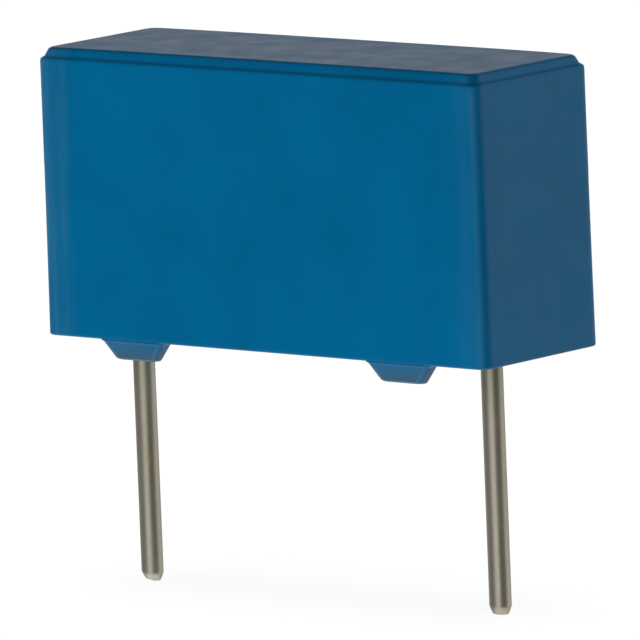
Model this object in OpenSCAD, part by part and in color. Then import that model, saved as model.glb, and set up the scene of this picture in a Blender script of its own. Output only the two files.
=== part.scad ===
// Box film capacitor with two straight leads, for a printed circuit board.
// The moulded cup stands open side down. The origin is midway between the leads on the seating
// plane, which the four feet touch. X runs along the row of leads and the leads point down.

/* [Case] */
// Length of the case between its end faces, at the rim
case_l = 12.6; // [12:0.1:16]
// Depth of the case between its front and back faces, at the rim
case_w = 4.1; // [3.6:0.1:8]
// Height of the case from its rim to its top
case_h = 6.5; // [5:0.1:12]
// Distance by which the case's middle lies behind the row of leads
case_back = 0.2; // [0:0.01:0.25]
// Radius of the four upright corners
corner_r = 0.35; // [0.32:0.01:0.6]
// Thickness of the long walls
side_wall = 0.52; // [0.4:0.01:0.7]
// Thickness of the end walls
end_wall = 0.55; // [0.4:0.01:0.65]
// Thickness of the top
top_wall = 0.6; // [0.5:0.01:1]
// Distance by which the outer walls lean in by the shoulder, so that the moulding leaves its mould
outer_lean = 0.03; // [0.01:0.01:0.05]
// Distance by which the cavity's walls lean in by its ceiling
cavity_lean = 0.05; // [0.01:0.01:0.1]
// Radius of the cavity's four upright corners
cavity_r = 0.3; // [0.25:0.01:0.5]
// Radius along the rim's outer edge
rim_r = 0.05; // [0.02:0.01:0.1]

/* [Stepped top] */
// Radius of the shoulder where the walls end
shoulder_r = 0.08; // [0.05:0.01:0.12]
// Width of the flat ledge between the shoulder and the raised top
ledge_w = 0.02; // [0.01:0.005:0.04]
// Height of the raised top above the ledge
step_h = 0.27; // [0.15:0.01:0.4]
// Distance by which the raised top's sides lean in
step_lean = 0.06; // [0.01:0.01:0.08]
// Radius of the raised top's upright corners, where it leaves the ledge
step_corner_r = 0.25; // [0.2:0.01:0.5]
// Radius along the raised top's edge
top_edge_r = 0.09; // [0.04:0.01:0.1]

/* [Feet] */
// Height of the feet, from the seating plane to the rim
foot_h = 0.46; // [0.3:0.02:1]
// Width of a foot at its tip
foot_tip_w = 1.1; // [0.6:0.05:2]
// Width of a foot where it leaves the rim
foot_root_w = 1.75; // [1.3:0.05:2.6]
// Thickness of a foot where it leaves the rim
foot_t = 0.35; // [0.2:0.01:0.4]
// Distance from the case's end face to the middle of the nearest foot
foot_from_end = 2.5; // [1.6:0.1:3.5]
// Distance from the case's face to a foot's outer face, at the rim
foot_setback = 0.05; // [0.02:0.01:0.12]
// Distance by which a foot's outer face leans in by its tip
foot_lean = 0.05; // [0:0.01:0.08]
// Radius of the fillet between a foot and the rim
foot_fillet_r = 0.1; // [0.05:0.01:0.2]

/* [Leads] */
// Distance from the case's end face to the middle of the nearest lead
lead_from_end = 1.3; // [1.2:0.05:2]
// Diameter of the leads
lead_d = 0.5; // [0.4:0.05:0.7]
// Length of the leads below the seating plane
lead_l = 5.3; // [3:0.1:25]
// Width of the bevel round a lead's cut end
tip_bevel_w = 0.1; // [0.02:0.01:0.15]
// Height of the bevel round a lead's cut end
tip_bevel_h = 0.2; // [0.05:0.01:0.4]
// Thickness of the flat tongue that a lead is pressed to inside
tongue_t = 0.28; // [0.2:0.01:0.35]
// Width of the tongue
tongue_w = 0.62; // [0.5:0.01:0.9]
// Height over which the round wire narrows into the tongue
neck_h = 0.8; // [0.4:0.05:1.2]
// Length of the tongue's weld on the end contact
weld_l = 2.6; // [1:0.1:4]

/* [Potting] */
// Depth of the resin's surface inside the rim
potting_recess = 0.3; // [0.2:0.01:0.45]
// Height by which the resin creeps down the walls
wall_creep = 0.12; // [0.05:0.01:0.18]
// Height by which the resin creeps down the leads
lead_creep = 0.25; // [0.18:0.01:0.28]
// Width of the resin collar round a lead, at the resin's surface
collar_w = 0.2; // [0.1:0.01:0.3]
// Least thickness of the resin's thin edges
resin_edge = 0.03; // [0.02:0.005:0.05]

/* [Element] */
// Room for resin between the winding and the long walls
side_gap = 0.15; // [0.08:0.01:0.4]
// Room for resin between the winding and the ceiling
ceiling_gap = 0.2; // [0.1:0.01:0.6]
// Thickness of resin under the winding
floor_gap = 0.5; // [0.4:0.01:0.9]
// Thickness of the sprayed end contacts
contact_t = 0.3; // [0.15:0.01:0.5]
// Distance by which an end contact stays inside the winding's outline
contact_inset = 0.06; // [0.02:0.01:0.15]

/* [Hidden] */

$fn = 64;
arc_steps = 5;
cut_margin = 1;

// Height by which a foot's root reaches up inside the wall
foot_root_h = 0.3;

case_blue = "#04608c";
resin_blue = "#2a5f7c";
film_silver = "#b9bcb8";
zinc_grey = "#8d8f8c";
tin_grey = "#9a978c";

// Levels above the seating plane
rim_z = foot_h;
top_z = rim_z + case_h;
ledge_z = top_z - step_h;
ceiling_z = top_z - top_wall;
resin_z = rim_z + potting_recess;
wire_exit_z = resin_z - lead_creep;
winding_z = resin_z + floor_gap;

// The leads stand at a set distance from the case's ends
lead_pitch = case_l - 2 * lead_from_end;

// The cavity's plan at the rim
cavity_l = case_l - 2 * end_wall;
cavity_w = case_w - 2 * side_wall;

// The element fills the cavity's narrow end and reaches between the two tongues
winding_t = cavity_w - 2 * cavity_lean - 2 * side_gap;
winding_h = ceiling_z - ceiling_gap - winding_z;
contact_face = lead_pitch / 2 - tongue_t / 2;
winding_l = 2 * (contact_face - contact_t);
weld_z = winding_z + (winding_h - weld_l) / 2;

// Points along an arc, as [across, up] pairs
function arc(across, up, r, from, to) =
    [for (i = [0 : arc_steps])
        let (a = from + (to - from) * i / arc_steps)
        [across + r * cos(a), up + r * sin(a)]];

// The outer wall from the rim to the shoulder, as [inset, height] pairs
outer_wall = concat(
    arc(rim_r, rim_z + rim_r, rim_r, 270, 180),
    arc(outer_lean + shoulder_r, ledge_z - shoulder_r, shoulder_r, 180, 90)
);

// The raised top starts inside the ledge, and its side leans in to a rounded edge
step_inset = outer_lean + shoulder_r + ledge_w;
step_side = concat(
    [[0, ledge_z - shoulder_r], [0, ledge_z]],
    arc(step_lean + top_edge_r, top_z - top_edge_r, top_edge_r, 180, 90)
);

// Inset of the cavity's wall at a height
function cavity_inset(z) = cavity_lean * (z - rim_z) / (ceiling_z - rim_z);

// A block with rounded upright corners. The profile gives its side as [inset, height] pairs,
// measured in from a plan of length l, depth w and corner radius r.
module profiled_block(l, w, r, profile) {
    low = profile[0].y;
    high = profile[len(profile) - 1].y;
    function section(half) = concat(
        [for (p = profile) [half - p.x, p.y]],
        [for (i = [len(profile) - 1 : -1 : 0]) [profile[i].x - half, profile[i].y]]
    );
    translate([r - l / 2, 0, 0])
        rotate([90, 0, 90])
            linear_extrude(l - 2 * r) polygon(section(w / 2));
    translate([0, w / 2 - r, 0])
        rotate([90, 0, 0])
            linear_extrude(w - 2 * r) polygon(section(l / 2));
    for (x = [-1, 1], y = [-1, 1])
        translate([x * (l / 2 - r), y * (w / 2 - r), 0])
            rotate(x > 0 ? (y > 0 ? 0 : 270) : (y > 0 ? 90 : 180))
                rotate_extrude(angle = 90)
                    polygon(concat([[0, low]], [for (p = profile) [r - p.x, p.y]], [[0, high]]));
}

// Everything that belongs to the case stands behind the row of leads
module about_case() {
    translate([0, case_back, 0]) children();
}

// One foot on the front wall: a trapezium with filleted roots, seen from the front, whose outer
// face leans in
module front_foot() {
    half_tip = foot_tip_w / 2;
    half_root = foot_root_w / 2;
    flare = atan((half_root - half_tip) / foot_h);
    fillet_x = half_root + foot_fillet_r * (1 - sin(flare)) / cos(flare);
    flank = arc(fillet_x, rim_z - foot_fillet_r, foot_fillet_r, 180 - flare, 90);
    root_z = rim_z + foot_root_h;
    half_outline = concat([[half_tip, 0]], flank, [[fillet_x, root_z]]);
    outer_y = foot_setback - case_w / 2;
    inner_y = outer_y + foot_t;
    intersection() {
        rotate([90, 0, 0])
            linear_extrude(case_w)
                polygon(concat(half_outline,
                    [for (i = [len(half_outline) - 1 : -1 : 0])
                        [-half_outline[i].x, half_outline[i].y]]));
        rotate([90, 0, 90])
            linear_extrude(2 * foot_root_w, center = true)
                polygon([[outer_y + foot_lean, 0], [inner_y, 0], [inner_y, root_z],
                    [outer_y, root_z], [outer_y, rim_z]]);
    }
}

module case() {
    color(case_blue) about_case() difference() {
        union() {
            profiled_block(case_l, case_w, corner_r, outer_wall);
            profiled_block(case_l - 2 * step_inset, case_w - 2 * step_inset, step_corner_r, step_side);
            for (x = [-1, 1], back = [0, 1])
                mirror([0, back, 0])
                    translate([x * (case_l / 2 - foot_from_end), 0, 0]) front_foot();
        }
        profiled_block(cavity_l, cavity_w, cavity_r,
            [[0, -cut_margin], [0, rim_z], [cavity_lean, ceiling_z]]);
    }
}

// The wound roll pressed flat, seen along its axis: two round edges and a flat middle. It stands
// on edge in a tall case and lies flat in a deep one.
module pressed_roll(length, inset) {
    edge_r = min(winding_t, winding_h) / 2 - inset;
    reach = abs(winding_h - winding_t) / 2;
    about_case() translate([-length / 2, 0, winding_z + winding_h / 2])
        rotate([winding_t > winding_h ? 90 : 0, 0, 0]) {
            for (z = [-reach, reach])
                translate([0, 0, z]) rotate([0, 90, 0]) cylinder(h = length, r = edge_r);
            translate([0, -edge_r, -reach]) cube([length, 2 * edge_r, 2 * reach]);
        }
}

module winding() {
    color(film_silver) pressed_roll(winding_l, 0);
}

// The sprayed contact on the right end of the winding
module contact_shape() {
    translate([contact_face - contact_t / 2, 0, 0]) pressed_roll(contact_t, contact_inset);
}

module end_contact_left() {
    color(zinc_grey) mirror([1, 0, 0]) contact_shape();
}

module end_contact_right() {
    color(zinc_grey) contact_shape();
}

// The right lead: a round wire with a bevelled end, then inside the resin a neck that narrows into
// a tongue, which fans out and lies flat on the end contact
module lead_shape() {
    r = lead_d / 2;
    neck_top_z = wire_exit_z + neck_h;
    fan_z = wire_exit_z + neck_h / 4;
    fan_top_z = fan_z + tongue_w;
    bevel = [for (i = [0 : arc_steps])
        let (a = 90 * i / arc_steps)
        [r - tip_bevel_w * (1 - sin(a)), tip_bevel_h * (1 - cos(a)) - lead_l]];
    translate([lead_pitch / 2, 0, 0]) {
        rotate_extrude()
            polygon(concat([[0, -lead_l]], bevel,
                [[r, wire_exit_z], [tongue_t / 4, neck_top_z], [0, neck_top_z]]));
        rotate([90, 0, 90])
            linear_extrude(tongue_t, center = true)
                polygon([[0, fan_z], [tongue_w / 2, fan_top_z], [tongue_w / 2, weld_z + weld_l],
                    [-tongue_w / 2, weld_z + weld_l], [-tongue_w / 2, fan_top_z]]);
    }
}

module lead_left() {
    color(tin_grey) mirror([1, 0, 0]) lead_shape();
}

module lead_right() {
    color(tin_grey) lead_shape();
}

// The hollow that the resin leaves under its surface: a flat face with a fillet up to the walls
module resin_dish() {
    fillet = [for (i = [0 : arc_steps])
        let (a = 90 * i / arc_steps)
        [resin_edge + wall_creep * (1 - cos(a)), resin_z - wall_creep * (1 - sin(a))]];
    profiled_block(cavity_l, cavity_w, cavity_r,
        concat([[resin_edge, rim_z]], fillet));
}

// The resin that has crept down the right lead
module lead_collar() {
    curve = [for (i = [0 : arc_steps])
        let (a = 90 * i / arc_steps)
        [lead_d / 2 + resin_edge + collar_w * (1 - cos(a)), wire_exit_z + lead_creep * sin(a)]];
    translate([lead_pitch / 2, 0, 0])
        rotate_extrude()
            polygon(concat([[0, wire_exit_z]], curve, [[0, resin_z]]));
}

module potting() {
    creep_z = resin_z - wall_creep;
    color(resin_blue) difference() {
        union() {
            about_case() difference() {
                profiled_block(cavity_l, cavity_w, cavity_r,
                    [[cavity_inset(creep_z), creep_z], [cavity_lean, ceiling_z]]);
                resin_dish();
            }
            for (side = [0, 1]) mirror([side, 0, 0]) lead_collar();
        }
        pressed_roll(winding_l, 0);
        for (side = [0, 1]) mirror([side, 0, 0]) {
            contact_shape();
            lead_shape();
        }
    }
}

case();
potting();
winding();
end_contact_left();
end_contact_right();
lead_left();
lead_right();
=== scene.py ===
"""The looks of a box film capacitor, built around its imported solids.

Lengths below are in millimetres, in the part's own frame: origin midway between the leads on the
seating plane, X along the row of leads, Z up. They become metres when a mesh is made.
"""

import math

import bmesh
import bpy
import numpy as np
from mathutils import Matrix, Vector


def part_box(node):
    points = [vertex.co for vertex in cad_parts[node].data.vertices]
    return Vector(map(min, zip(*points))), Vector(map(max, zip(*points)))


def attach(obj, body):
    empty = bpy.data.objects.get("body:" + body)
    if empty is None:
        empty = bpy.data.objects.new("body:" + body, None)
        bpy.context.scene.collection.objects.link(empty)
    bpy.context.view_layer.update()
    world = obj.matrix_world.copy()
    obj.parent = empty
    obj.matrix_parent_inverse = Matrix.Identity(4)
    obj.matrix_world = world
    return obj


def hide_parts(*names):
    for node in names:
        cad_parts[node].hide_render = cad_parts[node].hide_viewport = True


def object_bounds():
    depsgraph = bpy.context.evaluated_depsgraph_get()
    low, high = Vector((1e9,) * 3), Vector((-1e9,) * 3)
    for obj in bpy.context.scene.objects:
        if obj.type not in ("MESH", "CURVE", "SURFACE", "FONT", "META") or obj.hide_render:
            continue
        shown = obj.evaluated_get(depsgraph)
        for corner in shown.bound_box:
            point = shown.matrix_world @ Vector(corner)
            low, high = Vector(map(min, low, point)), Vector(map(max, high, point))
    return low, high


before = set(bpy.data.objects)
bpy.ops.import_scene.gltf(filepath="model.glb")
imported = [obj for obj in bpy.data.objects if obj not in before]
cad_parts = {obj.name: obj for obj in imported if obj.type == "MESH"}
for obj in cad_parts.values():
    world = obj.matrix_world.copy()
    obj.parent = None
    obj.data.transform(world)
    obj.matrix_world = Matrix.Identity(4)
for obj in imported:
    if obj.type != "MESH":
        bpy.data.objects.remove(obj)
cad_low, cad_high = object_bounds()

MM = 0.001

# ------------------------------------------------------------------
# Sizes
# ------------------------------------------------------------------


def node_box(name):
    """Lowest and highest corner of a solid, in millimetres."""
    low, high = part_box(name)
    return np.array(low) / MM, np.array(high) / MM


case_low, case_high = node_box("case")
potting_low, potting_high = node_box("potting")
lead_low, lead_high = node_box("lead_right")

HALF_L = (case_high[0] - case_low[0]) / 2
HALF_W = (case_high[1] - case_low[1]) / 2
MIDDLE_Y = (case_high[1] + case_low[1]) / 2
TOP_Z = case_high[2]
WIRE_R = (lead_high[0] - lead_low[0]) / 2
WIRE_X = (lead_high[0] + lead_low[0]) / 2
WIRE_END_Z = lead_low[2]
TONGUE_HALF_W = (lead_high[1] - lead_low[1]) / 2
TONGUE_TOP_Z = lead_high[2]
CEILING_Z = potting_high[2]
WIRE_EXIT_Z = potting_low[2]

# The moulded case
RIM_Z = 0.46
CORNER = 0.3           # how far the rounding of an upright corner reaches along each wall
CORNER_POWER = 2.2     # 2 is a plain arc; more gives the softer start of a moulded corner
OUTER_LEAN = 0.03
RIM_R = 0.05
STEP_CORNER = 0.22
# The stepped top's outline from the wall up: radius or length, and the tilt from upright, in
# degrees, that it ends with. The shoulder is a rounded bevel with a hollow above it.
ROLL_R = 0.6
ROLL_TILT = 10
SHOULDER_R = 0.06
SHOULDER_TILT = 50
SHOULDER_RUN = 0.06
HOLLOW_R = 0.05
STEP_TILT = 23
STEP_RUN = 0.13
TOP_EDGE_R = 0.11
WALL_TOP_Z = TOP_Z - 0.38
WALL_CROWN = 0.012     # how far a long wall falls back towards its ends
TOP_DROP = 0.02        # how far the top's edge drops at its two ends, from shrinkage
WALL_SINK = 0.006      # shallow sink in the middle of each wall, from shrinkage
TOP_SINK = 0.008       # and in the middle of the top
WALL_DEPTH = 0.15      # points this near to a wall's face move with the wall
SIDE_WALL = 0.52
END_WALL = 0.55
CAVITY_LEAN = 0.05
CAVITY_CORNER = 0.3
LIP_R = 0.03

# The feet
FOOT_X = 3.8
FOOT_TIP_W = 1.14
FOOT_ROOT_W = 1.83
FOOT_T = 0.34
FOOT_SETBACK = 0.04
FOOT_LEAN = 0.05
FOOT_FILLET_R = 0.18
FOOT_TIP_R = 0.13
FOOT_EDGE_R = 0.14
FOOT_BLEND_H = 0.12    # height over which a foot's face bends into the wall
FOOT_ROOT_Z = 0.7
FOOT_BURIED = 0.004    # how far a foot's sides lie inside the wall above the rim
FOOT_FACE_STEPS = 24
FOOT_END_IN = 0.05     # its fillets' ends turn into the wall from this far inside the root
FOOT_END_Z = RIM_Z - 0.01   # and from this height up

# The resin
RESIN_Z = 0.76
RESIN_EDGE = 0.01      # the pool's edge is drawn in from the wall by this
RESIN_EDGE_H = 0.04    # over this height
RESIN_LEVELS = (2.4, 4.4)   # levels in the resin's sides that keep their faces short
WALL_CREEP = 0.12
WALL_CREEP_REACH = 0.07
LEAD_CREEP = 0.24
LEAD_CREEP_REACH = 0.07
RESIN_SAG = 0.03
RESIN_SAG_REACH = 1.2  # how far from a wall the sag is at its full depth

# The leads
WIRE_STEPS = 150       # close enough for the tin's lumps to show
TONGUE_T = 0.28
TONGUE_EDGE = 0.02     # the bevel along the tongue's edges
TONGUE_POINT_R = 0.03
TONGUE_FAN_R = 0.1
TONGUE_TOP_R = 0.06
NECK_H = 0.8
TIP_BEVEL_W = 0.07
TIP_BEVEL_H = 0.19
TIP_ROUND_W = 0.015
TIP_ROUND_H = 0.009
TIP_BULGE = 1.25       # 1 is a straight bevel; more makes it round
TIP_SLANT_H = 0.5      # height over which a slanted cut pulls the wire's end
SLANT_LEFT = 0.1       # how much higher the cut's left edge lies
SLANT_RIGHT = 0.03
TIN_DEPTH = 0.004      # the tin's unevenness
TIN_LUMP = 0.6         # and how far its lumps lie apart
SEED_LEFT = 7
SEED_RIGHT = 11

POINT_GAP = 1e-4       # points of a solid closer than this are one
EDGE_GAP = 0.03        # a ring of points this close to a rounded edge keeps it crisp
WALL_RINGS = 18
WALL_RING_GAP = 0.2    # how far the first and last of them lie from the wall's ends
CREASE = 32            # edges sharper than this, in degrees, are shaded sharp
RESIN_CREASE = 40

# ------------------------------------------------------------------
# Camera: a long lens from the front and the right, a little above
# ------------------------------------------------------------------

CAMERA_AZIMUTH = math.radians(39.549)
CAMERA_ELEVATION = math.radians(8.3654)
CAMERA_ROLL = math.radians(2.2477)
CAMERA_DISTANCE = 294.61
CAMERA_AIM_Z = 0.904
CAMERA_LENS = 746.34
SENSOR = 36.0


def make_camera():
    """Looks at a point above the seating plane, turned a little about its own line of sight."""
    back = Vector((math.sin(CAMERA_AZIMUTH) * math.cos(CAMERA_ELEVATION),
                   -math.cos(CAMERA_AZIMUTH) * math.cos(CAMERA_ELEVATION),
                   math.sin(CAMERA_ELEVATION)))
    level = Vector((math.cos(CAMERA_AZIMUTH), math.sin(CAMERA_AZIMUTH), 0))
    rise = back.cross(level)
    right = level * math.cos(CAMERA_ROLL) - rise * math.sin(CAMERA_ROLL)
    up = level * math.sin(CAMERA_ROLL) + rise * math.cos(CAMERA_ROLL)
    aim = Vector((0, MIDDLE_Y, CAMERA_AIM_Z))
    data = bpy.data.cameras.new("camera")
    data.sensor_width = SENSOR
    data.lens = CAMERA_LENS
    data.clip_start = 0.01
    data.clip_end = 10
    camera = bpy.data.objects.new("camera", data)
    bpy.context.scene.collection.objects.link(camera)
    turn = Matrix((right, up, back)).transposed().to_4x4()
    camera.matrix_world = Matrix.Translation((aim + back * CAMERA_DISTANCE) * MM) @ turn
    bpy.context.scene.camera = camera


make_camera()
bpy.context.scene.view_settings.view_transform = "Standard"

# ------------------------------------------------------------------
# Materials
# ------------------------------------------------------------------


def linear(code):
    """An sRGB hex colour as a linear RGBA colour."""
    channels = [int(code[i:i + 2], 16) / 255 for i in (1, 3, 5)]
    return tuple(c / 12.92 if c <= 0.04045 else ((c + 0.055) / 1.055) ** 2.4
                 for c in channels) + (1.0,)


def per_metre(size_mm):
    """The scale of a texture on Object coordinates whose detail is size_mm across."""
    return 1 / (size_mm * MM)


def connect(tree, node, links):
    """Gives inputs of a node, by name or number, a value, another node's output, or another node,
    which stands for its first output."""
    for name, value in links.items():
        socket = node.inputs[name]
        if isinstance(value, bpy.types.Node):
            value = value.outputs[0]
        if isinstance(value, bpy.types.NodeSocket):
            tree.links.new(value, socket)
        else:
            socket.default_value = value


def add(tree, kind, links=None, settings=None):
    """Adds a node with its settings and links."""
    node = tree.nodes.new(kind)
    for name, value in (settings or {}).items():
        setattr(node, name, value)
    connect(tree, node, links or {})
    return node


def new_material(name, surface):
    """A material with a Principled surface, whose constants are set on its own sockets."""
    material = bpy.data.materials.new(name)
    material.use_nodes = True
    tree = material.node_tree
    tree.nodes.clear()
    shader = add(tree, "ShaderNodeBsdfPrincipled", surface)
    output = add(tree, "ShaderNodeOutputMaterial", {"Surface": shader})
    output.is_active_output = True
    place = add(tree, "ShaderNodeTexCoord").outputs["Object"]
    return material, tree, shader, place


def patches(tree, place, size_mm, detail, roughness, offset=0.0):
    """A pattern of soft random patches size_mm across. Each offset gives other patches."""
    moved = add(tree, "ShaderNodeMapping", {"Vector": place, "Location": (offset, offset, offset)})
    return add(tree, "ShaderNodeTexNoise", {
        "Vector": moved, "Scale": per_metre(size_mm), "Detail": detail, "Roughness": roughness})


# Most of a pattern of patches lies between these two values
PATCH = {"From Min": 0.35, "From Max": 0.65}
# In the Mix nodes below, inputs 6 and 7 are the two colours and output 2 is the mixed one
COLOURS = {"data_type": "RGBA"}


def moulded_pbt():
    """Moulded PBT from a spark-eroded mould: a satin, faintly cloudy blue with a fine even grain,
    with painted sheen in paler streaks along its upright corners and a painted greyer reflection on
    its feet."""
    # The grain breaks up most of a smooth face's gloss, so little of it is left
    material, tree, shader, place = new_material("moulded_pbt_blue", {
        "IOR": 1.55, "Specular IOR Level": 0.2})
    where = add(tree, "ShaderNodeSeparateXYZ", {0: place})
    # Pigment settles a little unevenly as the melt flows
    clouds = add(tree, "ShaderNodeMapRange", {
        "Value": patches(tree, place, 2.2, 4.0, 0.55), **PATCH})
    pigment = add(tree, "ShaderNodeMix", {
        0: clouds, 6: linear("#005c88"), 7: linear("#006290")}, COLOURS).outputs[2]

    # Painted sheen in paler streaks on the upright corners: near the case's ends and near its long
    # walls' faces
    from_middle = add(tree, "ShaderNodeMath", {0: where.outputs["X"]}, {"operation": "ABSOLUTE"})
    near_end = add(tree, "ShaderNodeMapRange", {
        "Value": from_middle, "From Min": (HALF_L - 1.0) * MM, "From Max": (HALF_L - 0.45) * MM})
    off_middle = add(tree, "ShaderNodeMath", {0: where.outputs["Y"], 1: MIDDLE_Y * MM},
                     {"operation": "SUBTRACT"})
    from_core = add(tree, "ShaderNodeMath", {0: off_middle}, {"operation": "ABSOLUTE"})
    near_wall = add(tree, "ShaderNodeMapRange", {
        "Value": from_core, "From Min": (HALF_W - 0.35) * MM, "From Max": (HALF_W - 0.15) * MM})
    # The painted sheen is stronger towards the left end
    sheen_leftward = add(tree, "ShaderNodeMapRange", {
        "Value": where.outputs["X"], "From Min": -1.0 * MM, "From Max": 1.0 * MM,
        "To Min": 1.0, "To Max": 0.2})
    upright = add(tree, "ShaderNodeMapping", {"Vector": place, "Scale": (1, 1, 0.07)})
    corner_sheen = add(tree, "ShaderNodeMapRange", {
        "Value": patches(tree, upright, 0.3, 2.0, 0.5, 0.003), "From Min": 0.42, "From Max": 0.6,
        "To Min": 0.06, "To Max": 0.22})
    for share in (sheen_leftward, near_end, near_wall):
        corner_sheen = add(tree, "ShaderNodeMath", {0: corner_sheen, 1: share}, {"operation": "MULTIPLY"})
    # The corners' painted sheen, a paler grey-teal, mixed into the pigment
    with_corner_sheen = add(tree, "ShaderNodeMix", {
        0: corner_sheen, 6: pigment, 7: linear("#5a7f86")}, COLOURS).outputs[2]

    # Painted reflection on the feet, greyer and paler in patches: most at the tip, and fading out
    # just above the rim
    down_foot = add(tree, "ShaderNodeMapRange", {
        "Value": where.outputs["Z"], "From Min": 0.0, "From Max": (RIM_Z + 0.1) * MM,
        "To Min": 2.2, "To Max": 0.0})
    foot_reflection_patches = add(tree, "ShaderNodeMapRange", {
        "Value": patches(tree, place, 0.4, 3.0, 0.6, 0.041), **PATCH, "To Min": 0.3, "To Max": 0.5})
    foot_reflection = add(tree, "ShaderNodeMath", {0: down_foot, 1: foot_reflection_patches}, {"operation": "MULTIPLY"})
    with_foot_reflection = add(tree, "ShaderNodeMix", {
        0: foot_reflection, 6: with_corner_sheen, 7: linear("#3f5765")}, COLOURS).outputs[2]

    # Parts that slid on others in a box are a shade smoother
    worn = add(tree, "ShaderNodeMapRange", {
        "Value": patches(tree, place, 0.9, 5.0, 0.6, 0.013), **PATCH,
        "To Min": 0.25, "To Max": 0.34})
    # Real grain is about 0.02 mm across; 0.06 mm is the finest that shows
    grain = patches(tree, place, 0.06, 2.0, 0.5, 0.031)
    swell = patches(tree, place, 0.8, 2.0, 0.5, 0.047)
    fine = add(tree, "ShaderNodeBump", {"Height": grain, "Strength": 0.07, "Distance": 0.01 * MM})
    broad = add(tree, "ShaderNodeBump", {
        "Height": swell, "Strength": 0.5, "Distance": 0.012 * MM, "Normal": fine})
    connect(tree, shader, {"Base Color": with_foot_reflection, "Roughness": worn, "Normal": broad})
    return material


def tinned_wire():
    """Hot-tinned copper wire: soft silver, with drawn streaks along it, and a painted darker,
    greenish reflection of the case with painted shade where it leaves the case."""
    # A thin dull oxide hides part of the metal
    material, tree, shader, place = new_material("hot_tinned_copper_wire", {"Metallic": 0.72})
    along = add(tree, "ShaderNodeMapping", {"Vector": place, "Scale": (1, 1, 0.03)})
    # Thin tin lets a warm tone through in long patches
    warmth = add(tree, "ShaderNodeMapRange", {
        "Value": patches(tree, along, 0.12, 3.0, 0.5), **PATCH})
    tin = add(tree, "ShaderNodeMix", {
        0: warmth, 6: linear("#b7b5aa"), 7: linear("#aca48f")}, COLOURS).outputs[2]
    where = add(tree, "ShaderNodeSeparateXYZ", {0: place})
    # Painted reflection of the blue case and painted shade: darker and greener towards the case
    case_reflection_share = add(tree, "ShaderNodeMapRange", {
        "Value": where.outputs["Z"], "From Min": -1.0 * MM, "From Max": 0.2 * MM,
        "To Min": 0.0, "To Max": 0.55})
    with_case_reflection = add(tree, "ShaderNodeMix", {
        0: case_reflection_share, 6: tin, 7: linear("#7f8c68")}, COLOURS).outputs[2]
    dulled = add(tree, "ShaderNodeMapRange", {
        "Value": patches(tree, place, 0.35, 3.0, 0.5, 0.021), **PATCH,
        "To Min": 0.2, "To Max": 0.28})
    # Drawing lines, 0.03 mm apart across the wire
    lines = patches(tree, along, 0.03, 1.0, 0.5, 0.037)
    lumps = patches(tree, place, 0.5, 2.0, 0.5, 0.053)
    fine = add(tree, "ShaderNodeBump", {"Height": lines, "Strength": 0.1, "Distance": 0.002 * MM})
    broad = add(tree, "ShaderNodeBump", {
        "Height": lumps, "Strength": 0.3, "Distance": 0.008 * MM, "Normal": fine})
    connect(tree, shader, {"Base Color": with_case_reflection, "Roughness": dulled, "Normal": broad})
    return material


def cast_resin():
    """Filled epoxy, poured and cured: glossy and slightly uneven, with specks of filler."""
    material, tree, shader, place = new_material("cast_epoxy_resin", {
        "IOR": 1.55, "Specular IOR Level": 0.5})
    specks = add(tree, "ShaderNodeMapRange", {
        "Value": patches(tree, place, 0.09, 2.0, 0.7, 0.011), "From Min": 0.4, "From Max": 0.75})
    speckled = add(tree, "ShaderNodeMix", {
        0: specks, 6: linear("#2a5f7c"), 7: linear("#3b6f8a")}, COLOURS).outputs[2]
    film = add(tree, "ShaderNodeMapRange", {
        "Value": patches(tree, place, 1.1, 3.0, 0.5, 0.019), **PATCH,
        "To Min": 0.14, "To Max": 0.3})
    swell = patches(tree, place, 0.5, 3.0, 0.5, 0.029)
    bump = add(tree, "ShaderNodeBump", {"Height": swell, "Strength": 0.5, "Distance": 0.02 * MM})
    connect(tree, shader, {"Base Color": speckled, "Roughness": film, "Normal": bump})
    return material


def wound_film():
    """Metallised polyester film: smooth and silvery, with the lines of its turns at the ends."""
    material, tree, shader, place = new_material("metallised_polyester_film", {
        "Metallic": 0.7, "Specular IOR Level": 0.5})
    # Turns are a few microns apart; 0.158 mm is drawn so that they show. At scale 1 a wave's
    # lines are 2 pi / 20 apart.
    turns = add(tree, "ShaderNodeTexWave", {
        "Vector": place, "Scale": per_metre(0.158) * 2 * math.pi / 20, "Distortion": 1.5,
        "Detail": 2.0}, {"bands_direction": "Y"})
    striped = add(tree, "ShaderNodeMix", {
        0: turns, 6: linear("#b9bcb8"), 7: linear("#a4a8a6")}, COLOURS).outputs[2]
    creases = add(tree, "ShaderNodeMapRange", {
        "Value": patches(tree, place, 0.7, 4.0, 0.6, 0.017), **PATCH,
        "To Min": 0.2, "To Max": 0.38})
    bump = add(tree, "ShaderNodeBump", {"Height": turns, "Strength": 0.3, "Distance": 0.005 * MM})
    connect(tree, shader, {"Base Color": striped, "Roughness": creases, "Normal": bump})
    return material


def sprayed_zinc():
    """Arc-sprayed zinc: a rough, matt grey metal built of small splashed drops."""
    material, tree, shader, place = new_material("arc_sprayed_zinc", {"Metallic": 1.0})
    drops = add(tree, "ShaderNodeTexVoronoi", {"Vector": place, "Scale": per_metre(0.08)})
    from_centre = {"Value": drops.outputs["Distance"], "From Min": 0.1, "From Max": 0.7}
    edges = add(tree, "ShaderNodeMapRange", from_centre)
    grey = add(tree, "ShaderNodeMix", {
        0: edges, 6: linear("#9a9c99"), 7: linear("#7c7e7b")}, COLOURS).outputs[2]
    matt = add(tree, "ShaderNodeMapRange", {**from_centre, "To Min": 0.5, "To Max": 0.75})
    bump = add(tree, "ShaderNodeBump", {
        "Height": drops.outputs["Distance"], "Strength": 0.8, "Distance": 0.03 * MM})
    connect(tree, shader, {"Base Color": grey, "Roughness": matt, "Normal": bump})
    return material


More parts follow.
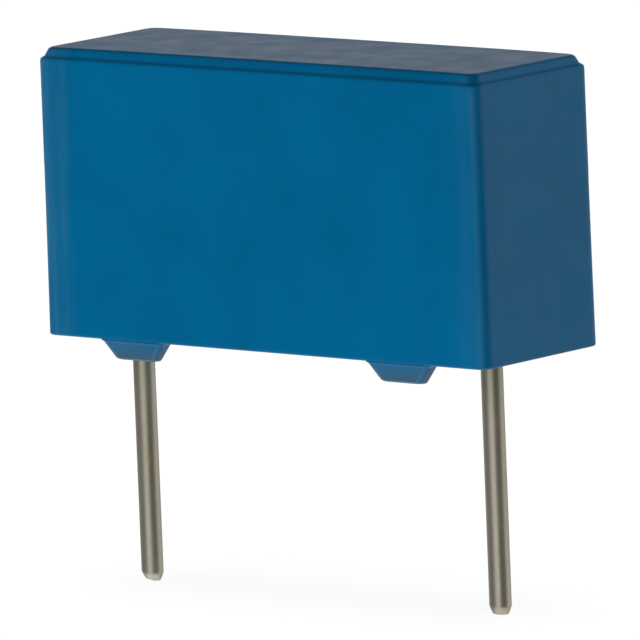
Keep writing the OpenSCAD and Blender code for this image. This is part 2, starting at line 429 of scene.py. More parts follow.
PBT = moulded_pbt()
TIN = tinned_wire()
RESIN = cast_resin()
FILM = wound_film()
ZINC = sprayed_zinc()

# ------------------------------------------------------------------
# Mesh helpers
# ------------------------------------------------------------------

# How many steps a rounded rectangle has round a corner, and along a long and a short side
CORNER_STEPS = 12
WALL_STEPS = (40, 14)
POOL_STEPS = (180, 48)


def quarter(steps):
    """Angles from 0 to a quarter turn."""
    return np.linspace(0, math.pi / 2, steps + 1)


def spread(half, steps, margin=0.04):
    """Points from -half to half, with one close to each end so that the flat part stays flat."""
    inner = np.linspace(-half + margin, half - margin, steps - 1)
    return np.concatenate([[-half], inner, [half]])


def ring(half_l, half_w, corner, power=2.0, steps=WALL_STEPS):
    """A rounded rectangle, anticlockwise from the middle of its lower left corner, whose four
    sides between the middles of its corners have set numbers of points."""
    x_flat = spread(half_l - corner, steps[0])
    y_flat = spread(half_w - corner, steps[1])
    angle = quarter(CORNER_STEPS)
    reach = corner * np.stack([np.cos(angle) ** (2 / power), np.sin(angle) ** (2 / power)], 1)
    cx, cy = half_l - corner, half_w - corner
    right_low = np.stack([cx + reach[::-1, 0], -cy - reach[::-1, 1]], 1)
    right_high = np.stack([cx + reach[:, 0], cy + reach[:, 1]], 1)
    left_high = np.stack([-cx - reach[::-1, 0], cy + reach[::-1, 1]], 1)
    left_low = np.stack([-cx - reach[:, 0], -cy - reach[:, 1]], 1)
    low = np.stack([x_flat, np.full_like(x_flat, -half_w)], 1)
    high = np.stack([x_flat[::-1], np.full_like(x_flat, half_w)], 1)
    right = np.stack([np.full_like(y_flat, half_l), y_flat], 1)
    left = np.stack([np.full_like(y_flat, -half_l), y_flat[::-1]], 1)
    half = CORNER_STEPS // 2
    return np.concatenate([left_low[half:-1], low[:-1], right_low[:-1], right[:-1],
                           right_high[:-1], high[:-1], left_high[:-1], left[:-1],
                           left_low[:half]])


def grid_inside(border, steps=WALL_STEPS):
    """A grid of points that fills a ring: its rows run along the long sides."""
    long, short = steps[0] + CORNER_STEPS, steps[1] + CORNER_STEPS
    low = border[:long + 1]
    right = border[long:long + short + 1]
    high = border[long + short:2 * long + short + 1][::-1]
    left = np.concatenate([border[2 * long + short:], border[:1]])[::-1]
    u = np.linspace(0, 1, long + 1)[None, :, None]
    v = np.linspace(0, 1, short + 1)[:, None, None]
    return ((1 - v) * low[None] + v * high[None] + (1 - u) * left[:, None] + u * right[:, None]
            - (1 - u) * (1 - v) * low[0] - u * (1 - v) * low[-1]
            - (1 - u) * v * high[0] - u * v * high[-1])


class Surface:
    """Points and faces that become one mesh."""

    def __init__(self):
        self.points, self.faces = [], []

    def add_points(self, points):
        start = len(self.points)
        self.points.extend(np.asarray(points, float).reshape(-1, 3).tolist())
        return start

    def loft(self, rings):
        """Joins rings of equal length in turn, and gives the first point of each."""
        starts = [self.add_points(r) for r in rings]
        count = len(rings[0])
        for a, b in zip(starts, starts[1:]):
            for i in range(count):
                j = (i + 1) % count
                self.faces.append((a + i, a + j, b + j, b + i))
        return starts

    def cap(self, start, inside, flip=False):
        """Fills a ring whose points start at start. inside gives the grid's points."""
        rows, columns = inside.shape[:2]
        long, short = columns - 1, rows - 1
        index = np.empty((rows, columns), int)
        index[0, :] = start + np.arange(columns)
        index[:, -1] = start + long + np.arange(rows)
        index[-1, ::-1] = start + long + short + np.arange(columns)
        index[1:, 0] = start + (2 * long + short + np.arange(rows - 1))[::-1]
        middle = self.add_points(inside[1:-1, 1:-1])
        index[1:-1, 1:-1] = middle + np.arange((rows - 2) * (columns - 2)).reshape(
            rows - 2, columns - 2)
        for r in range(rows - 1):
            for c in range(columns - 1):
                face = (index[r, c], index[r, c + 1], index[r + 1, c + 1], index[r + 1, c])
                self.faces.append(tuple(int(i) for i in (face[::-1] if flip else face)))

    def close_ends(self, starts, count):
        """One flat face over the first ring and one over the last."""
        self.faces.append(tuple(range(starts[0], starts[0] + count)))
        self.faces.append(tuple(range(starts[-1], starts[-1] + count))[::-1])

    def mesh(self, name):
        data = bpy.data.meshes.new(name)
        data.from_pydata((np.array(self.points) * MM).tolist(), [], self.faces)
        data.validate()
        work = bmesh.new()
        work.from_mesh(data)
        bmesh.ops.remove_doubles(work, verts=work.verts, dist=POINT_GAP / 10 * MM)
        bmesh.ops.recalc_face_normals(work, faces=work.faces)
        work.to_mesh(data)
        work.free()
        return data


def show(name, data):
    piece = bpy.data.objects.new(name, data)
    bpy.context.scene.collection.objects.link(piece)
    return piece


def smooth(data, degrees):
    """Smooth shading that keeps the edges sharper than this."""
    data.shade_smooth()
    data.set_sharp_from_angle(angle=math.radians(degrees))


def finish_piece(piece, node):
    """Puts a piece in a solid's place, on the only body."""
    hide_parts(node)
    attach(piece, "root")


def group(name, inputs):
    """A Geometry Nodes tree with a Geometry input, these inputs and a Geometry output."""
    tree = bpy.data.node_groups.new(name, "GeometryNodeTree")
    tree.interface.new_socket("Geometry", in_out="INPUT", socket_type="NodeSocketGeometry")
    for label, kind in inputs:
        tree.interface.new_socket(label, in_out="INPUT", socket_type=kind)
    tree.interface.new_socket("Geometry", in_out="OUTPUT", socket_type="NodeSocketGeometry")
    return tree, tree.nodes.new("NodeGroupInput"), tree.nodes.new("NodeGroupOutput")


def finish_tree(tree, mesh, material, end):
    """Ends a tree with a plain mesh in its material."""
    real = add(tree, "GeometryNodeRealizeInstances", {0: mesh})
    painted = add(tree, "GeometryNodeSetMaterial", {"Geometry": real, "Material": material})
    connect(tree, end, {0: painted})


def grown(name, base, tree, values):
    """A plain mesh piece from what a Geometry Nodes tree makes of base."""
    modifier = base.modifiers.new("growth", "NODES")
    modifier.node_group = tree
    sockets = {s.name: s.identifier for s in tree.interface.items_tree if s.in_out == "INPUT"}
    for label, value in values.items():
        modifier[sockets[label]] = value
    bpy.context.view_layer.update()
    evaluated = base.evaluated_get(bpy.context.evaluated_depsgraph_get())
    data = bpy.data.meshes.new_from_object(evaluated)
    base.modifiers.clear()
    bpy.data.objects.remove(base)
    return show(name, data)


def drop(piece):
    bpy.data.objects.remove(piece)


# ------------------------------------------------------------------
# The moulded case
# ------------------------------------------------------------------


def about_case(points, z):
    """Plan points about the case's middle, lifted to height z."""
    return np.column_stack([points[:, 0], points[:, 1] + MIDDLE_Y, np.full(len(points), z)])


def cavity_plan(z, inset=0.0, steps=WALL_STEPS):
    """The cavity's plan at a height; its walls lean in towards the ceiling."""
    lean = CAVITY_LEAN * (z - RIM_Z) / (CEILING_Z - RIM_Z) + inset
    return ring(HALF_L - END_WALL - lean, HALF_W - SIDE_WALL - lean,
                CAVITY_CORNER - lean, steps=steps)


def shaped_wall(points, z):
    """Walls of a moulding aren't flat: they fall back towards their ends and sink in the middle."""
    shaped = points.copy()
    up = np.clip((z - RIM_Z) / (WALL_TOP_Z - RIM_Z), 0, 1)
    rise = 4 * up * (1 - up)
    x, y = points[:, 0], points[:, 1]
    front = np.abs(y) > HALF_W - WALL_DEPTH
    end = np.abs(x) > HALF_L - WALL_DEPTH
    along = np.clip(np.abs(x) / (HALF_L - CORNER), 0, 1)
    across = np.clip(np.abs(y) / (HALF_W - CORNER), 0, 1)
    fall = WALL_CROWN * along ** 6 * rise + WALL_SINK * (1 - along ** 2) ** 2 * rise
    shaped[front, 1] -= (np.sign(y) * fall)[front]
    side = WALL_SINK * (1 - across ** 2) ** 2 * rise
    shaped[end, 0] -= (np.sign(x) * side)[end]
    return shaped


def step_profile():
    """The stepped top's outline: how far each point is in from the wall and up from its end."""
    inset = rise = tilt = 0.0
    points = []

    def bend(radius, end):
        """An arc to another tilt, tangent to what is before and after it."""
        nonlocal inset, rise, tilt
        a0, a1 = math.radians(tilt), math.radians(end)
        way = 1 if a1 > a0 else -1
        for a in np.linspace(a0, a1, 8)[1:]:
            points.append((inset + way * radius * (math.cos(a0) - math.cos(a)),
                           rise + way * radius * (math.sin(a) - math.sin(a0))))
        (inset, rise), tilt = points[-1], end

    def go(length):
        """A straight stretch at the tilt that the last arc ended with."""
        nonlocal inset, rise
        for share in (0.5, 1.0):
            points.append((inset + share * length * math.sin(math.radians(tilt)),
                           rise + share * length * math.cos(math.radians(tilt))))
        inset, rise = points[-1]

    bend(ROLL_R, ROLL_TILT)
    bend(SHOULDER_R, SHOULDER_TILT)
    go(SHOULDER_RUN)
    bend(HOLLOW_R, STEP_TILT)
    go(STEP_RUN)
    bend(TOP_EDGE_R, 90)
    return points


def shell():
    """The moulding without its feet, as level rings from the ceiling down to the rim and up to
    the top's edge, closed by the ceiling and the top."""
    surface = Surface()
    rings = []

    def outer(inset, z):
        """Adds a ring of the outer wall."""
        plan = ring(HALF_L - inset, HALF_W - inset, CORNER - inset, CORNER_POWER)
        rings.append(about_case(shaped_wall(plan, z), z))

    # Inside: the ceiling's edge, the wall down to the rim, and its rounded lip
    for z in np.linspace(CEILING_Z, RIM_Z + LIP_R, 8):
        rings.append(about_case(cavity_plan(z), z))
    for a in quarter(4)[1:]:
        rings.append(about_case(cavity_plan(RIM_Z, -LIP_R * (1 - math.cos(a))),
                                RIM_Z + LIP_R * (1 - math.sin(a))))
    # The rim's outer edge and the leaning wall
    top_profile = step_profile()
    for a in quarter(6):
        outer(RIM_R * (1 - math.sin(a)), RIM_Z + RIM_R * (1 - math.cos(a)))
    low, high = RIM_Z + RIM_R, TOP_Z - top_profile[-1][1]
    levels = np.linspace(low + WALL_RING_GAP, high - WALL_RING_GAP, WALL_RINGS)
    for z in (low + EDGE_GAP, *levels, high - EDGE_GAP, high):
        outer(OUTER_LEAN * (z - low) / (high - low), z)
    # The step, whose upright corners get tighter towards the top
    wall_corner = CORNER - OUTER_LEAN
    for inset, rise in top_profile:
        share = rise / top_profile[-1][1]
        plan = ring(HALF_L - OUTER_LEAN - inset, HALF_W - OUTER_LEAN - inset,
                    wall_corner + (STEP_CORNER - wall_corner) * share, CORNER_POWER)
        lifted = about_case(plan, high + rise)
        lifted[:, 2] -= TOP_DROP * share * (np.abs(plan[:, 0]) / HALF_L) ** 4
        rings.append(lifted)
    starts = surface.loft(rings)

    # The ceiling, and the top with its sink
    surface.cap(starts[0], grid_inside(rings[0]), flip=True)
    top = grid_inside(rings[-1])
    x = top[..., 0] / top[..., 0].max()
    y = (top[..., 1] - MIDDLE_Y) / (top[..., 1] - MIDDLE_Y).max()
    top[..., 2] -= TOP_SINK * ((1 - x ** 2) * (1 - y ** 2)) ** 0.5
    surface.cap(starts[-1], top)
    return surface.mesh("shell")


def rounded_outline(corners):
    """The outline through corners, each an x, a z and a radius, as evenly turning arcs."""
    points = []
    count = len(corners)
    for i, (x, z, r) in enumerate(corners):
        here = np.array([x, z])
        back = np.array(corners[i - 1][:2]) - here
        ahead = np.array(corners[(i + 1) % count][:2]) - here
        back, ahead = back / np.linalg.norm(back), ahead / np.linalg.norm(ahead)
        if r == 0:
            points.append(here)
            continue
        half = math.acos(np.clip(back @ ahead, -1, 1)) / 2
        middle = (back + ahead) / np.linalg.norm(back + ahead)
        centre = here + middle * r / math.sin(half)
        start, end = here + back * r / math.tan(half), here + ahead * r / math.tan(half)
        a0 = math.atan2(*(start - centre)[::-1])
        a1 = math.atan2(*(end - centre)[::-1])
        turn = (a1 - a0 + math.pi) % (2 * math.pi) - math.pi
        for t in np.linspace(0, 1, 9):
            a = a0 + turn * t
            points.append(centre + r * np.array([math.cos(a), math.sin(a)]))
    return np.array(points)


def moved_in(outline, distance):
    """The outline, moved inwards by a distance smaller than its radii."""
    ahead = np.roll(outline, -1, 0) - outline
    behind = outline - np.roll(outline, 1, 0)
    ahead /= np.linalg.norm(ahead, axis=1)[:, None]
    behind /= np.linalg.norm(behind, axis=1)[:, None]
    normal = np.column_stack([-(ahead + behind)[:, 1], (ahead + behind)[:, 0]])
    normal /= np.linalg.norm(normal, axis=1)[:, None]
    stretch = 1 / np.maximum(np.sum(normal * np.column_stack([-ahead[:, 1], ahead[:, 0]]), 1), 0.5)
    return outline + normal * (distance * stretch)[:, None]


def smoothstep(x, low, high):
    """0 below low, 1 above high, and a soft rise between."""
    t = np.clip((x - low) / (high - low), 0, 1)
    return t * t * (3 - 2 * t)


def foot_mesh():
    """One foot of the front wall, about its own middle and as level slices: rounded at the tip,
    filleted into the rim, with a face that leans in and bends into the wall's own surface."""
    tip, root = FOOT_TIP_W / 2, FOOT_ROOT_W / 2
    # Half the width at each height: round the tip, up the slope and through the fillet, and then
    # no wider up to the top
    side = rounded_outline([(0, 0, 0), (tip, 0, FOOT_TIP_R), (root, RIM_Z, FOOT_FILLET_R),
                            (2 * root, RIM_Z, 0), (0, RIM_Z, 0)])[1:-2]
    above = [(side[-1][0], z) for z in (*(RIM_Z + RIM_R * (1 - np.cos(quarter(5)))[1:]),
                                        FOOT_ROOT_Z)]
    surface = Surface()
    rings = []
    for half, z in [*side, *above]:
        edge = min(FOOT_EDGE_R, half / 2)
        x = np.linspace(-half + edge, half - edge, FOOT_FACE_STEPS + 1)
        # The face: it leans in, rounds over at the tip and bends into the wall at the root
        lean = FOOT_SETBACK + FOOT_LEAN * max(0, 1 - z / RIM_Z)
        bend = smoothstep(z, RIM_Z - FOOT_BLEND_H, RIM_Z + RIM_R)
        tip_bend = FOOT_EDGE_R * (1 - math.sqrt(1 - (1 - min(z / FOOT_EDGE_R, 1)) ** 2))
        face = lean * (1 - bend) + tip_bend
        # From the rim up, the fillets' ends turn back into the rim's rounded edge and the wall
        down = min(max((RIM_Z + RIM_R - z) / RIM_R, 0), 1)
        rim = FOOT_BURIED + RIM_R * (1 - math.sqrt(1 - down ** 2))
        away = smoothstep(np.abs(x), root - FOOT_END_IN, half - edge) if z > FOOT_END_Z else 0 * x
        y = face + (np.maximum(rim, face) - face) * away
        corner = quarter(4)[1:]
        right = np.column_stack([half - edge + edge * np.sin(corner),
                                 y[-1] + edge * (1 - np.cos(corner))])
        left = right[::-1] * (-1, 1)
        back = np.array([(half, FOOT_T), (-half, FOOT_T)])
        plan = np.concatenate([np.column_stack([x, y]), right, back, left])
        rings.append(np.column_stack([plan, np.full(len(plan), z)]))
    surface.close_ends(surface.loft(rings), len(rings[0]))
    return surface.mesh("foot")


def feet_tree():
    """Sets the foot at four places, turned to face out, and joins all four to the shell."""
    tree, start, end = group("feet_on_rim", [
        ("Foot", "NodeSocketObject"), ("Row spacing", "NodeSocketFloat"),
        ("Wall spacing", "NodeSocketFloat"), ("Middle", "NodeSocketFloat"),
        ("Plastic", "NodeSocketMaterial")])
    places = add(tree, "GeometryNodeMeshGrid", {
        "Size X": start.outputs["Row spacing"], "Size Y": start.outputs["Wall spacing"],
        "Vertices X": 2, "Vertices Y": 2})
    where = add(tree, "ShaderNodeSeparateXYZ", {0: add(tree, "GeometryNodeInputPosition")})
    at_back = add(tree, "ShaderNodeMath", {0: where.outputs["Y"], 1: 0.0},
                  {"operation": "GREATER_THAN"})
    half_turn = add(tree, "ShaderNodeMath", {0: at_back, 1: math.pi}, {"operation": "MULTIPLY"})
    turn = add(tree, "ShaderNodeCombineXYZ", {"Z": half_turn})
    foot = add(tree, "GeometryNodeObjectInfo",
               {"Object": start.outputs["Foot"], "As Instance": True})
    feet = add(tree, "GeometryNodeInstanceOnPoints", {
        "Points": places, "Instance": foot.outputs["Geometry"], "Rotation": turn})
    shift = add(tree, "ShaderNodeCombineXYZ", {"Y": start.outputs["Middle"]})
    moved = add(tree, "GeometryNodeTransform", {"Geometry": feet, "Translation": shift})
    real = add(tree, "GeometryNodeRealizeInstances", {0: moved})
    union = add(tree, "GeometryNodeMeshBoolean", {"Mesh 2": real},
                {"operation": "UNION", "solver": "EXACT"})
    connect(tree, union, {"Mesh 2": start.outputs["Geometry"]})
    finish_tree(tree, union, start.outputs["Plastic"], end)
    return tree


def make_case():
    """The one moulding: its shell and its four feet."""
    foot = show("foot_pattern", foot_mesh())
    case = grown("case_moulding", show("shell", shell()), feet_tree(), {
        "Foot": foot, "Row spacing": 2 * FOOT_X * MM, "Wall spacing": 2 * HALF_W * MM,
        "Middle": MIDDLE_Y * MM, "Plastic": PBT})
    drop(foot)
    smooth(case.data, CREASE)
    return case


# ------------------------------------------------------------------
# The leads
# ------------------------------------------------------------------


def wire_path(side):
    """The wire's centre line from its cut end up into the resin, with its radius at each point."""
    heights, radii = [WIRE_END_Z], [WIRE_R - TIP_BEVEL_W - TIP_ROUND_W]
    for a in quarter(4)[1:]:
        heights.append(WIRE_END_Z + TIP_ROUND_H * (1 - math.cos(a)))
        radii.append(WIRE_R - TIP_BEVEL_W - TIP_ROUND_W * (1 - math.sin(a)))
    for share in np.linspace(0, 1, 9)[1:]:
        heights.append(WIRE_END_Z + TIP_ROUND_H + TIP_BEVEL_H * share)
        radii.append(WIRE_R - TIP_BEVEL_W * (1 - share) ** TIP_BULGE)
    for z in np.linspace(heights[-1] + EDGE_GAP, WIRE_EXIT_Z, WIRE_STEPS):
        heights.append(z)
        radii.append(WIRE_R)
    for share in (0.5, 1.0):
        heights.append(WIRE_EXIT_Z + NECK_H * share)
        radii.append(WIRE_R + (TONGUE_T / 4 - WIRE_R) * share)
    data = bpy.data.meshes.new("wire_path")
    points = [(side * WIRE_X * MM, 0, z * MM) for z in heights]
    data.from_pydata(points, [(i, i + 1) for i in range(len(points) - 1)], [])
    radius = data.attributes.new("wire_radius", "FLOAT", "POINT")
    radius.data.foreach_set("value", np.array(radii, np.float32) * MM)
    return show("wire_path", data)


def tongue(side):
    """The flat that the wire is pressed to: a point that fans out to a strip, edges rounded."""
    fan_z = WIRE_EXIT_Z + NECK_H / 4
    strip_z = fan_z + 2 * TONGUE_HALF_W
    outline = rounded_outline([
        (0, fan_z, TONGUE_POINT_R), (TONGUE_HALF_W, strip_z, TONGUE_FAN_R),
        (TONGUE_HALF_W, TONGUE_TOP_Z, TONGUE_TOP_R), (-TONGUE_HALF_W, TONGUE_TOP_Z, TONGUE_TOP_R),
        (-TONGUE_HALF_W, strip_z, TONGUE_FAN_R)])
    surface = Surface()
    half, edge = TONGUE_T / 2, TONGUE_EDGE
    rings = []
    for inset, across in ((edge, -half), (0, -half + edge), (0, half - edge), (edge, half)):
        flat = moved_in(outline, inset)
        rings.append(np.column_stack([np.full(len(flat), side * WIRE_X + across), flat[:, 0],
                                      flat[:, 1]]))
    surface.close_ends(surface.loft(rings), len(rings[0]))
    return show("tongue", surface.mesh("tongue"))


def wire_tree():
    """Sweeps a round section along the wire's line, roughens it as dipped tin is, and joins the
    pressed tongue."""
    tree, start, end = group("dipped_wire", [
        ("Tongue", "NodeSocketObject"), ("Roughness depth", "NodeSocketFloat"),
        ("Lumps", "NodeSocketFloat"), ("Seed", "NodeSocketFloat"),
        ("Axis X", "NodeSocketFloat"), ("Metal", "NodeSocketMaterial")])
    line = add(tree, "GeometryNodeMeshToCurve", {"Mesh": start.outputs["Geometry"]})
    radius = add(tree, "GeometryNodeInputNamedAttribute", {"Name": "wire_radius"},
                 {"data_type": "FLOAT"})
    section = add(tree, "GeometryNodeCurvePrimitiveCircle", {"Resolution": 56, "Radius": 1.0})
    swept = add(tree, "GeometryNodeCurveToMesh", {
        "Curve": line, "Profile Curve": section, "Scale": radius.outputs["Attribute"],
        "Fill Caps": True})
    # Points move straight in towards the wire's axis, by the lumps' depth there
    place = add(tree, "GeometryNodeInputPosition")
    split = add(tree, "ShaderNodeSeparateXYZ", {0: place})
    off_axis = add(tree, "ShaderNodeMath", {0: split.outputs["X"], 1: start.outputs["Axis X"]},
                   {"operation": "SUBTRACT"})
    from_axis = add(tree, "ShaderNodeCombineXYZ", {"X": off_axis, "Y": split.outputs["Y"]})
    outward = add(tree, "ShaderNodeVectorMath", {0: from_axis}, {"operation": "NORMALIZE"})
    lumps = add(tree, "ShaderNodeTexNoise", {
        "Vector": place, "W": start.outputs["Seed"], "Scale": start.outputs["Lumps"],
        "Detail": 2.0}, {"noise_dimensions": "4D"})
    depth = add(tree, "ShaderNodeMath", {0: lumps, 1: start.outputs["Roughness depth"]},
                {"operation": "MULTIPLY"})
    inward = add(tree, "ShaderNodeMath", {0: depth, 1: -1.0}, {"operation": "MULTIPLY"})
    offset = add(tree, "ShaderNodeVectorMath", {0: outward, "Scale": inward},
                 {"operation": "SCALE"})
    dipped = add(tree, "GeometryNodeSetPosition", {"Geometry": swept, "Offset": offset})
    flat = add(tree, "GeometryNodeObjectInfo", {"Object": start.outputs["Tongue"]})
    union = add(tree, "GeometryNodeMeshBoolean", {"Mesh 2": dipped},
                {"operation": "UNION", "solver": "EXACT"})
    connect(tree, union, {"Mesh 2": flat.outputs["Geometry"]})
    finish_tree(tree, union, start.outputs["Metal"], end)
    return tree


def slant_end(data, side, slant):
    """Lifts the left side of a wire's end, as a pinched cut leaves it. slant is by how much."""
    edge = WIRE_R - TIP_BEVEL_W - TIP_ROUND_W
    for point in data.vertices:
        low = 1 - min(max((point.co.z / MM - WIRE_END_Z) / TIP_SLANT_H, 0), 1)
        # 0 at the cut's right edge, 1 at its left edge, and a little more on the wire's left side
        across = (side * WIRE_X - point.co.x / MM) / edge
        share = min(max(0, 1 + across), 2.5) / 2
        point.co.z += slant * MM * low * low * share


def make_lead(name, side, slant, seed, tree):
    """One wire with its tongue. side is -1 for the left one and 1 for the right one."""
    strip = tongue(side)
    lead = grown(name, wire_path(side), tree, {
        "Tongue": strip, "Roughness depth": TIN_DEPTH * MM, "Lumps": per_metre(TIN_LUMP),
        "Seed": float(seed), "Axis X": side * WIRE_X * MM, "Metal": TIN})
    drop(strip)
    slant_end(lead.data, side, slant)
    smooth(lead.data, CREASE)
    return lead


# ------------------------------------------------------------------
# The resin
# ------------------------------------------------------------------


def resin_level(x, y, wall_distance):
    """Height of the resin's under surface: it creeps down the walls and the leads, and has sunk
    a little between them."""
    level = RESIN_Z + RESIN_SAG * np.clip(wall_distance / RESIN_SAG_REACH, 0, 1) ** 2
    level = level - WALL_CREEP * np.exp(-wall_distance / WALL_CREEP_REACH)
    for side in (-1, 1):
        away = np.clip(np.hypot(x - side * WIRE_X, y) - WIRE_R, 0, None)
        level = level - LEAD_CREEP * np.exp(-away / LEAD_CREEP_REACH)
    return np.maximum(level, WIRE_EXIT_Z)


def resin_block():
    """The block of resin: the pool's surface on a fine grid, its sides and its flat top."""
    surface = Surface()
    edge_z = RESIN_Z - WALL_CREEP
    rings = [about_case(cavity_plan(z, RESIN_EDGE if z == edge_z else 0, POOL_STEPS), z)
             for z in (edge_z, edge_z + RESIN_EDGE_H, *RESIN_LEVELS, CEILING_Z)]
    starts = surface.loft(rings)
    pool = grid_inside(rings[0], POOL_STEPS)
    flat_x, flat_y = pool[..., 0], pool[..., 1]
    reach_x, reach_y = np.abs(rings[0][:, 0]).max(), np.abs(rings[0][:, 1] - MIDDLE_Y).max()
    distance = np.minimum(reach_x - np.abs(flat_x), reach_y - np.abs(flat_y - MIDDLE_Y))
    pool[..., 2] = resin_level(flat_x, flat_y, np.clip(distance, 0, None))
    surface.cap(starts[0], pool, flip=True)
    surface.cap(starts[-1], grid_inside(rings[-1], POOL_STEPS))
    return show("resin_block", surface.mesh("resin_block"))


def closed_copy(node):
    """A copy of a solid's mesh with its points joined."""
    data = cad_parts[node].data.copy()
    work = bmesh.new()
    work.from_mesh(data)
    bmesh.ops.remove_doubles(work, verts=work.verts, dist=POINT_GAP * MM)
    work.to_mesh(data)
    work.free()
    return show("cutter_" + node, data)


def without_flaps(data):
    """Cutting leaves flaps: faces back to back on the same points, or held by one edge only. They
    are taken out."""
    work = bmesh.new()
    work.from_mesh(data)
    bmesh.ops.triangulate(work, faces=work.faces)
    bmesh.ops.remove_doubles(work, verts=work.verts, dist=POINT_GAP * MM)
    on_points = {}
    for face in work.faces:
        on_points.setdefault(frozenset(point.index for point in face.verts), []).append(face)
    flaps = [face for same in on_points.values() if len(same) > 1 for face in same]
    bmesh.ops.delete(work, geom=flaps, context="FACES")
    flaps = {face for edge in work.edges if edge.is_boundary for face in edge.link_faces}
    bmesh.ops.delete(work, geom=list(flaps), context="FACES")
    work.to_mesh(data)
    work.free()


def resin_tree(count):
    """Takes what the resin surrounds out of the block."""
    names = [f"Held {i}" for i in range(count)]
    tree, start, end = group("resin_round_element", [(n, "NodeSocketObject") for n in names]
                             + [("Resin", "NodeSocketMaterial")])
    cut = add(tree, "GeometryNodeMeshBoolean", {"Mesh 1": start.outputs["Geometry"]},
              {"operation": "DIFFERENCE", "solver": "EXACT"})
    for name in names:
        held = add(tree, "GeometryNodeObjectInfo", {"Object": start.outputs[name]})
        connect(tree, cut, {"Mesh 2": held.outputs["Geometry"]})
    finish_tree(tree, cut, start.outputs["Resin"], end)
    return tree


def make_potting(leads):
    """The resin, with room in it for the winding, the end contacts and the leads."""
    cutters = [closed_copy(n) for n in ("winding", "end_contact_left", "end_contact_right")]
    held = cutters + leads
    values = {f"Held {i}": o for i, o in enumerate(held)}
    values["Resin"] = RESIN
    potting = grown("potting_resin", resin_block(), resin_tree(len(held)), values)
    for cutter in cutters:
        drop(cutter)
    without_flaps(potting.data)
    smooth(potting.data, RESIN_CREASE)
    return potting


case = make_case()
wire = wire_tree()
lead_left = make_lead("tinned_lead_left", -1, SLANT_LEFT, SEED_LEFT, wire)
lead_right = make_lead("tinned_lead_right", 1, SLANT_RIGHT, SEED_RIGHT, wire)
potting = make_potting([lead_left, lead_right])

finish_piece(case, "case")
finish_piece(potting, "potting")
finish_piece(lead_left, "lead_left")
finish_piece(lead_right, "lead_right")

# The winding and its end contacts keep the solids' own meshes
for name, material in (("winding", FILM), ("end_contact_left", ZINC), ("end_contact_right", ZINC)):
    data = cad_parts[name].data
    data.materials.clear()
    data.materials.append(material)

# ------------------------------------------------------------------
# Floor, light and surroundings
# ------------------------------------------------------------------

FLOOR_Z = cad_low[2] / MM - 0.01
FLOOR_BEHIND = 420.0
FLOOR_SIDE = 320.0
FLOOR_FRONT = 28.0
FLOOR_GLOW = 0.93      # the lamps' light on the paper adds the rest to white


def make_floor():
    """A pale floor that shows white, keeps a faint shadow and can't be seen from below. The light
    that it would throw back on the part comes from the low lamps."""
    data = bpy.data.meshes.new("floor")
    corners = [(-FLOOR_SIDE, -FLOOR_FRONT), (FLOOR_SIDE, -FLOOR_FRONT),
               (FLOOR_SIDE, FLOOR_BEHIND), (-FLOOR_SIDE, FLOOR_BEHIND)]
    data.from_pydata([(x * MM, y * MM, FLOOR_Z * MM) for x, y in corners], [], [(0, 1, 2, 3)])
    floor = show("floor", data)
    material = bpy.data.materials.new("pale_paper_floor")
    material.use_nodes = True
    tree = material.node_tree
    tree.nodes.clear()
    paper = add(tree, "ShaderNodeBsdfDiffuse", {"Color": linear("#8c8c8c")})
    glow = add(tree, "ShaderNodeEmission", {"Strength": FLOOR_GLOW})
    both = add(tree, "ShaderNodeAddShader", {0: paper, 1: glow})
    clear = add(tree, "ShaderNodeBsdfTransparent")
    side = add(tree, "ShaderNodeNewGeometry")
    one_sided = add(tree, "ShaderNodeMixShader", {
        0: side.outputs["Backfacing"], 1: both, 2: clear})
    add(tree, "ShaderNodeOutputMaterial", {"Surface": one_sided})
    data.materials.append(material)
    floor.visible_diffuse = False
    floor.visible_glossy = False
    floor.visible_shadow = False


# What gloss sees at the level of the horizon: azimuth from the front, positive to the right,
# and brightness
HORIZON = ((-180, 0.41), (-140, 0.41), (-110, 0.35), (-85, 0.14), (-65, 0.04), (-30, 0.04),
           (-14, 0.36), (6, 0.92), (28, 0.95), (42, 0.5), (56, 0.13), (74, 0.07), (92, 0.11),
           (108, 0.36), (125, 0.78), (160, 0.78), (180, 0.41))
# Below it lies a floor that mirrors the room, duller and never quite dark. Nearer to the part
# it glows, and straight under the part it is dull.
MIRROR_SHARE = 0.75
MIRROR_LEAST = 0.11
NEAR_FLOOR = 1.1
FLOOR_UNDER = 0.35
ROOM_TOP = 0.055
BEHIND_TALLER = 0.13   # how much higher the pale sweep behind reaches than the walls do
FILL = 0.04            # what the room gives to every face, besides the lamps


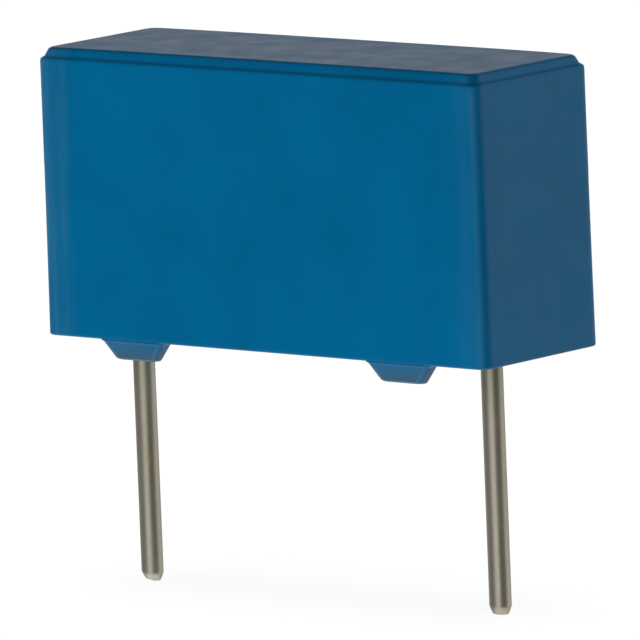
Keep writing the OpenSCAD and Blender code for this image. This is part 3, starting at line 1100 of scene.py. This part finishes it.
def make_world():
    """White to the eye. Gloss shows a grey room with a soft box at the front, a dark gap at its
    right and a pale sweep behind."""
    world = bpy.data.worlds.new("room")
    bpy.context.scene.world = world
    world.use_nodes = True
    tree = world.node_tree
    tree.nodes.clear()
    direction = add(tree, "ShaderNodeSeparateXYZ",
                    {0: add(tree, "ShaderNodeTexCoord").outputs["Generated"]})
    x, y, z = direction.outputs
    front = add(tree, "ShaderNodeMath", {0: y, 1: -1.0}, {"operation": "MULTIPLY"})
    azimuth = add(tree, "ShaderNodeMath", {0: x, 1: front}, {"operation": "ARCTAN2"})
    round_room = add(tree, "ShaderNodeMapRange", {
        "Value": azimuth, "From Min": -math.pi, "From Max": math.pi})
    ramp = add(tree, "ShaderNodeValToRGB", {0: round_room})
    stops = ramp.color_ramp.elements
    while len(stops) < len(HORIZON):
        stops.new(0.5)
    for stop, (angle, level) in zip(stops, HORIZON):
        stop.position = (angle + 180) / 360
        stop.color = (level, level, level, 1)
    mirrored = add(tree, "ShaderNodeMath", {0: ramp, 1: MIRROR_SHARE, 2: MIRROR_LEAST},
                   {"operation": "MULTIPLY_ADD"})
    behind = add(tree, "ShaderNodeMath", {0: y, 1: 0.0}, {"operation": "MAXIMUM"})
    above = add(tree, "ShaderNodeMath", {0: behind, 1: -BEHIND_TALLER, 2: z},
                {"operation": "MULTIPLY_ADD"})
    # From where to where, by the sine of the elevation, the view goes over to each next level.
    # In these Mix nodes inputs 2 and 3 are the two numbers.
    gloss = ramp
    for height, start, end, level in (
            (z, -0.22, -0.45, mirrored), (z, -0.5, -0.75, NEAR_FLOOR),
            (z, -0.88, -0.96, FLOOR_UNDER), (above, 0.25, 0.7, ROOM_TOP)):
        share = add(tree, "ShaderNodeMapRange", {
            "Value": height, "From Min": start, "From Max": end},
            {"interpolation_type": "SMOOTHSTEP"})
        gloss = add(tree, "ShaderNodeMix", {0: share, 2: gloss, 3: level}, {"data_type": "FLOAT"})
    ray = add(tree, "ShaderNodeLightPath")
    lit = add(tree, "ShaderNodeMix", {0: ray.outputs["Is Glossy Ray"], 2: FILL, 3: gloss},
              {"data_type": "FLOAT"})
    shown = add(tree, "ShaderNodeMix", {0: ray.outputs["Is Camera Ray"], 2: lit, 3: 1.0},
                {"data_type": "FLOAT"})
    background = add(tree, "ShaderNodeBackground", {"Color": (1, 1, 1, 1), "Strength": shown})
    add(tree, "ShaderNodeOutputWorld", {"Surface": background})
    world.cycles.sampling_method = "NONE"


LAMP_SIZE = 260
LAMP_DISTANCE = 400
LAMP_AIM_Z = 3.0
# Azimuth from the front, positive to the right, elevation, and the level that a white face
# turned to the lamp shows. The low ones stand for light that a floor throws back.
LAMPS = (("soft_box_front", -25, -28, 1.33), ("white_card_right", 100, -20, 0.56),
         ("white_card_behind", 190, -5, 0.6), ("ceiling", 0, 88, 0.36))


def make_lamp(name, azimuth, elevation, level):
    """A large square soft box aimed at the case."""
    a, e = math.radians(azimuth), math.radians(elevation)
    aim = Vector((0, MIDDLE_Y, LAMP_AIM_Z))
    back = Vector((math.sin(a) * math.cos(e), -math.cos(a) * math.cos(e), math.sin(e)))
    data = bpy.data.lights.new(name, "AREA")
    data.shape = "SQUARE"
    data.size = LAMP_SIZE * MM
    # A white face turned to the lamp shows its power over the square of pi times the distance
    data.energy = level * (math.pi * LAMP_DISTANCE * MM) ** 2
    lamp = bpy.data.objects.new(name, data)
    bpy.context.scene.collection.objects.link(lamp)
    lamp.location = (aim + back * LAMP_DISTANCE) * MM
    lamp.rotation_euler = (-back).to_track_quat("-Z", "Y").to_euler()
    # Its mirror image would be a hard white square; the room has soft ones instead
    lamp.visible_glossy = False
    data.cycles.use_multiple_importance_sampling = False
    lamp.visible_camera = False


make_floor()
make_world()
for lamp in LAMPS:
    make_lamp(*lamp)
